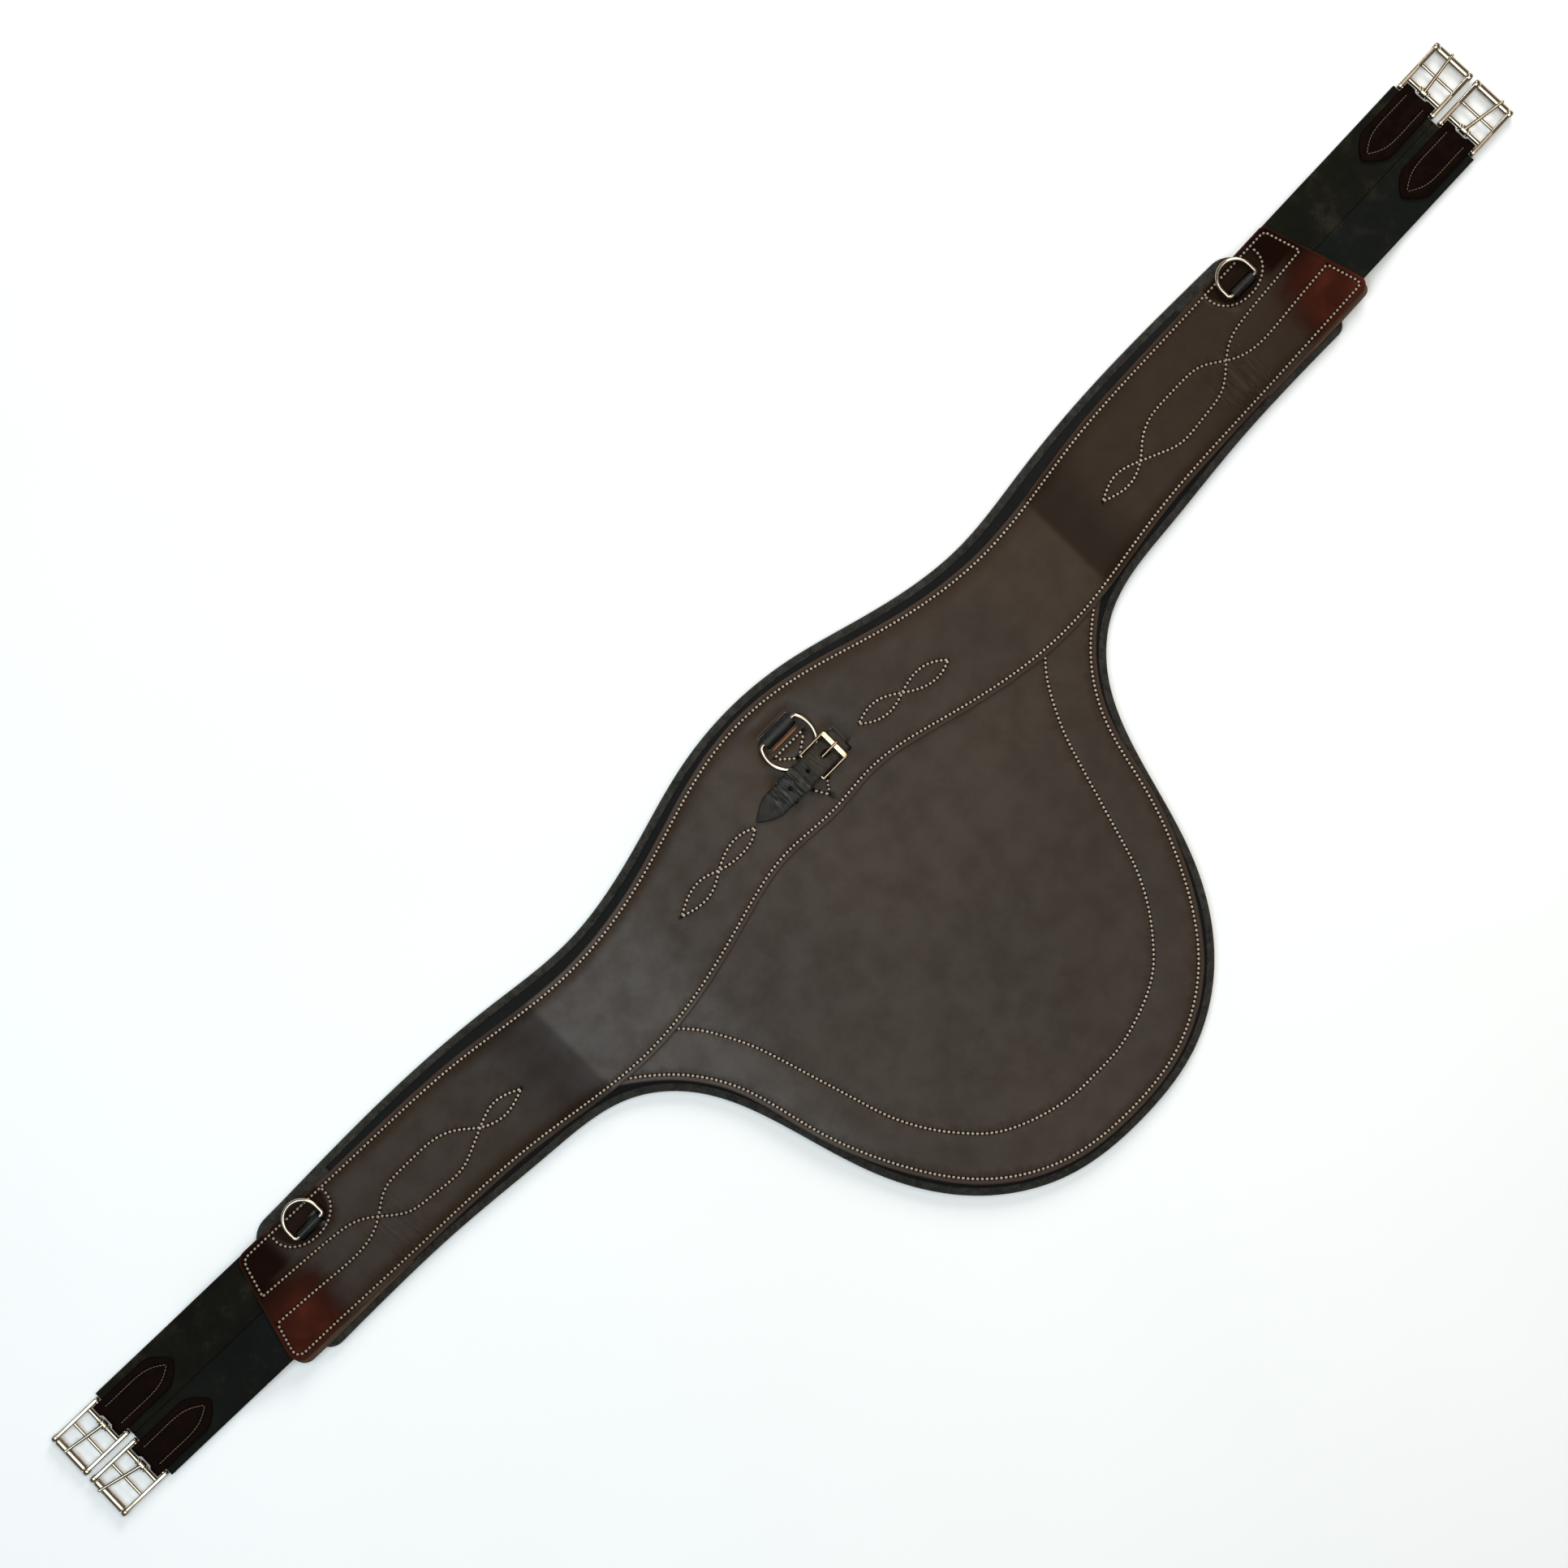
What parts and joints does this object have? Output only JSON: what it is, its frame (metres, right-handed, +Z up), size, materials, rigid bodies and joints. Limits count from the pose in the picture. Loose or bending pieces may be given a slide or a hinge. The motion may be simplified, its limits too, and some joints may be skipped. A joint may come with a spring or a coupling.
{
  "type": "saddle girth",
  "caption": "Saddle girth with a rounded belly guard, felt-lined leather body, elastic ends with roller buckles, and D-rings for attachments.",
  "frame": {"origin": "middle of the bounding box, on the underside of the felt pad", "axes": "+X along the girth, +Y towards its front edge, -Y towards the tip of the belly guard, +Z up out of the leather face"},
  "size_m": [1.35, 0.397, 0.0286],
  "materials": {
    "brown_leather": "satin",
    "dark_leather": "satin",
    "black_leather": "satin",
    "tan_leather": "matte",
    "grey_felt": "matte",
    "black_sheet": "matte",
    "nylon_web": "matte",
    "filler_foam": "matte",
    "olive_elastic": "matte",
    "stainless": "polished",
    "sewing_thread": "matte"
  },
  "bodies": {
    "root": {"felt_pad": "grey_felt", "black_backing": "black_sheet", "guard_leather": "brown_leather", "strap_leather": "brown_leather", "core_web": "nylon_web", "strap_foam": "filler_foam", "end_ply_left": "tan_leather", "end_ply_right": "tan_leather", "elastic_left_front": "olive_elastic", "elastic_left_rear": "olive_elastic", "elastic_right_front": "olive_elastic", "elastic_right_rear": "olive_elastic", "ring_patch_left": "brown_leather", "ring_patch_right": "brown_leather", "ring_loop_left": "black_leather", "ring_loop_right": "black_leather", "centre_ring_loop": "black_leather", "clip_billet": "black_leather", "clip_chape": "black_leather", "clip_keeper": "black_leather", "clip_buckle_frame": "stainless"},
    "chape_left_front": {"buckle_chape_left_front": "dark_leather"},
    "buckle_left_front": {"buckle_frame_left_front": "stainless"},
    "roller_left_front": {"buckle_roller_left_front": "stainless"},
    "tongue_left_front": {"buckle_tongue_left_front": "stainless"},
    "chape_left_rear": {"buckle_chape_left_rear": "dark_leather"},
    "buckle_left_rear": {"buckle_frame_left_rear": "stainless"},
    "roller_left_rear": {"buckle_roller_left_rear": "stainless"},
    "tongue_left_rear": {"buckle_tongue_left_rear": "stainless"},
    "chape_right_front": {"buckle_chape_right_front": "dark_leather"},
    "buckle_right_front": {"buckle_frame_right_front": "stainless"},
    "roller_right_front": {"buckle_roller_right_front": "stainless"},
    "tongue_right_front": {"buckle_tongue_right_front": "stainless"},
    "chape_right_rear": {"buckle_chape_right_rear": "dark_leather"},
    "buckle_right_rear": {"buckle_frame_right_rear": "stainless"},
    "roller_right_rear": {"buckle_roller_right_rear": "stainless"},
    "tongue_right_rear": {"buckle_tongue_right_rear": "stainless"},
    "ring_left": {"end_ring_left": "stainless"},
    "ring_right": {"end_ring_right": "stainless"},
    "ring_centre": {"centre_ring": "stainless"},
    "clip_tongue": {"clip_tongue": "stainless"}
  },
  "joints": [
    {"name": "elastic_stretch_left_front", "type": "slide", "parent": "root", "child": "chape_left_front", "axis": [-0.9995, 0.0314, 0], "range_m": [0, 0.025], "stiffness_N_per_m": 2400, "deforming": ["elastic_left_front"]},
    {"name": "buckle_swing_left_front", "type": "hinge", "parent": "chape_left_front", "child": "buckle_left_front", "pos_m": [-0.63362, 0.15739, 0.0042], "axis": [0.0314, 0.9995, 0], "range_deg": [0, 60]},
    {"name": "tongue_swing_left_front", "type": "hinge", "parent": "buckle_left_front", "child": "tongue_left_front", "pos_m": [-0.64082, 0.15762, 0.0042], "axis": [0.0314, 0.9995, 0], "range_deg": [0, 100]},
    {"name": "roller_spin_left_front", "type": "hinge", "parent": "buckle_left_front", "child": "roller_left_front", "pos_m": [-0.67011, 0.15854, 0.0046], "axis": [0.0314, 0.9995, 0], "continuous": true},
    {"name": "elastic_stretch_left_rear", "type": "slide", "parent": "root", "child": "chape_left_rear", "axis": [-0.9995, 0.0314, 0], "range_m": [0, 0.025], "stiffness_N_per_m": 2400, "deforming": ["elastic_left_rear"]},
    {"name": "buckle_swing_left_rear", "type": "hinge", "parent": "chape_left_rear", "child": "buckle_left_rear", "pos_m": [-0.63481, 0.11961, 0.0042], "axis": [0.0314, 0.9995, 0], "range_deg": [0, 60]},
    {"name": "tongue_swing_left_rear", "type": "hinge", "parent": "buckle_left_rear", "child": "tongue_left_rear", "pos_m": [-0.64201, 0.11984, 0.0042], "axis": [0.0314, 0.9995, 0], "range_deg": [0, 100]},
    {"name": "roller_spin_left_rear", "type": "hinge", "parent": "buckle_left_rear", "child": "roller_left_rear", "pos_m": [-0.67129, 0.12076, 0.0046], "axis": [0.0314, 0.9995, 0], "continuous": true},
    {"name": "elastic_stretch_right_front", "type": "slide", "parent": "root", "child": "chape_right_front", "axis": [0.9995, 0.0314, 0], "range_m": [0, 0.025], "stiffness_N_per_m": 2400, "deforming": ["elastic_right_front"]},
    {"name": "buckle_swing_right_front", "type": "hinge", "parent": "chape_right_front", "child": "buckle_right_front", "pos_m": [0.63362, 0.15739, 0.0042], "axis": [0.0314, -0.9995, 0], "range_deg": [0, 60]},
    {"name": "tongue_swing_right_front", "type": "hinge", "parent": "buckle_right_front", "child": "tongue_right_front", "pos_m": [0.64082, 0.15762, 0.0042], "axis": [0.0314, -0.9995, 0], "range_deg": [0, 100]},
    {"name": "roller_spin_right_front", "type": "hinge", "parent": "buckle_right_front", "child": "roller_right_front", "pos_m": [0.67011, 0.15854, 0.0046], "axis": [0.0314, -0.9995, 0], "continuous": true},
    {"name": "elastic_stretch_right_rear", "type": "slide", "parent": "root", "child": "chape_right_rear", "axis": [0.9995, 0.0314, 0], "range_m": [0, 0.025], "stiffness_N_per_m": 2400, "deforming": ["elastic_right_rear"]},
    {"name": "buckle_swing_right_rear", "type": "hinge", "parent": "chape_right_rear", "child": "buckle_right_rear", "pos_m": [0.63481, 0.11961, 0.0042], "axis": [0.0314, -0.9995, 0], "range_deg": [0, 60]},
    {"name": "tongue_swing_right_rear", "type": "hinge", "parent": "buckle_right_rear", "child": "tongue_right_rear", "pos_m": [0.64201, 0.11984, 0.0042], "axis": [0.0314, -0.9995, 0], "range_deg": [0, 100]},
    {"name": "roller_spin_right_rear", "type": "hinge", "parent": "buckle_right_rear", "child": "roller_right_rear", "pos_m": [0.67129, 0.12076, 0.0046], "axis": [0.0314, -0.9995, 0], "continuous": true},
    {"name": "ring_swing_left", "type": "hinge", "parent": "root", "child": "ring_left", "pos_m": [-0.4468, 0.1526, 0.0185], "axis": [1, 0, 0], "range_deg": [0, 165]},
    {"name": "ring_swing_right", "type": "hinge", "parent": "root", "child": "ring_right", "pos_m": [0.4544, 0.1526, 0.0185], "axis": [1, 0, 0], "range_deg": [0, 165]},
    {"name": "ring_lift_centre", "type": "hinge", "parent": "root", "child": "ring_centre", "pos_m": [0.013, 0.1638, 0.0186], "axis": [-1, 0, 0], "range_deg": [0, 2]},
    {"name": "clip_tongue_swing", "type": "hinge", "parent": "root", "child": "clip_tongue", "pos_m": [0.012, 0.13, 0.0239], "axis": [0, -1, 0], "range_deg": [0, 5]}
  ]
}
